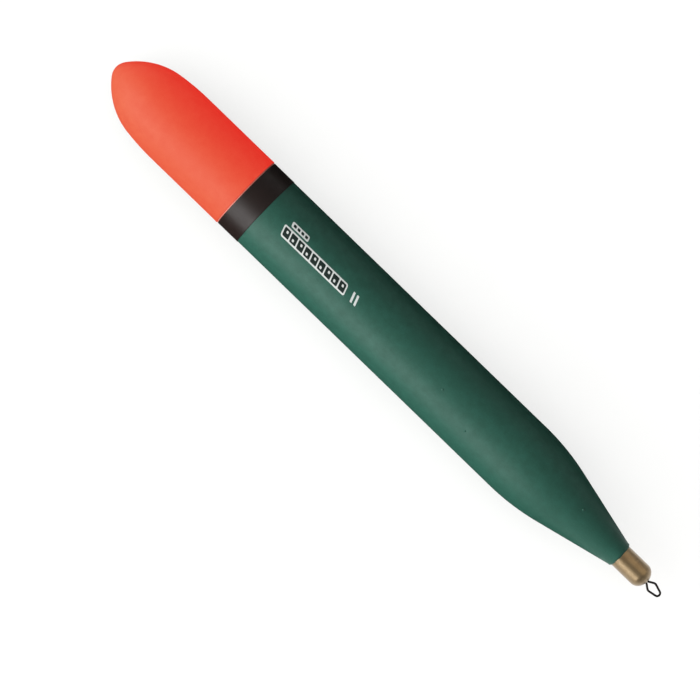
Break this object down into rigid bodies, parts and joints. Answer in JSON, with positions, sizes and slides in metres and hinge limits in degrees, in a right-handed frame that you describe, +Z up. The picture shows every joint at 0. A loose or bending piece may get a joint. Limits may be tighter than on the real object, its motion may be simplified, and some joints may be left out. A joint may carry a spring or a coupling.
{
  "type": "pencil fishing float",
  "caption": "Slim fishing float with a bright rounded tip, dark band and body, a tapered tail, a brass ballast stem and a small swivelling wire eye for the line.",
  "frame": {"origin": "under the middle of the whole length, on the surface that the float lies on", "axes": "+X along the float towards its bright tip, +Z up off the surface, +Y to the side that the line eye leans to at rest"},
  "size_m": [0.2, 0.0218, 0.0219],
  "materials": {
    "foam": "matte",
    "white_undercoat": "matte",
    "fluorescent_red": "satin",
    "satin_black": "satin",
    "satin_green": "satin",
    "brass": "satin",
    "epoxy": "gloss",
    "black_nickel": "satin"
  },
  "bodies": {
    "float": {"foam_core": "foam", "tip_undercoat": "white_undercoat", "tip_coat": "fluorescent_red", "band_coat": "satin_black", "body_coat": "satin_green", "ballast": "brass", "ballast_glue": "epoxy", "swivel_potting": "epoxy", "anchor_eye": "black_nickel"},
    "swivel_barrel": {"swivel_barrel": "black_nickel"},
    "line_eye": {"line_eye": "black_nickel"}
  },
  "joints": [
    {"name": "swivel_spin", "type": "hinge", "parent": "float", "child": "swivel_barrel", "pos_m": [-0.09325, 0, 0.01095], "axis": [1, 0, 0], "continuous": true},
    {"name": "eye_tilt", "type": "hinge", "parent": "swivel_barrel", "child": "line_eye", "pos_m": [-0.09325, 0, 0.01095], "axis": [0, 0, -1], "range_deg": [-11.7, 4.3]}
  ]
}
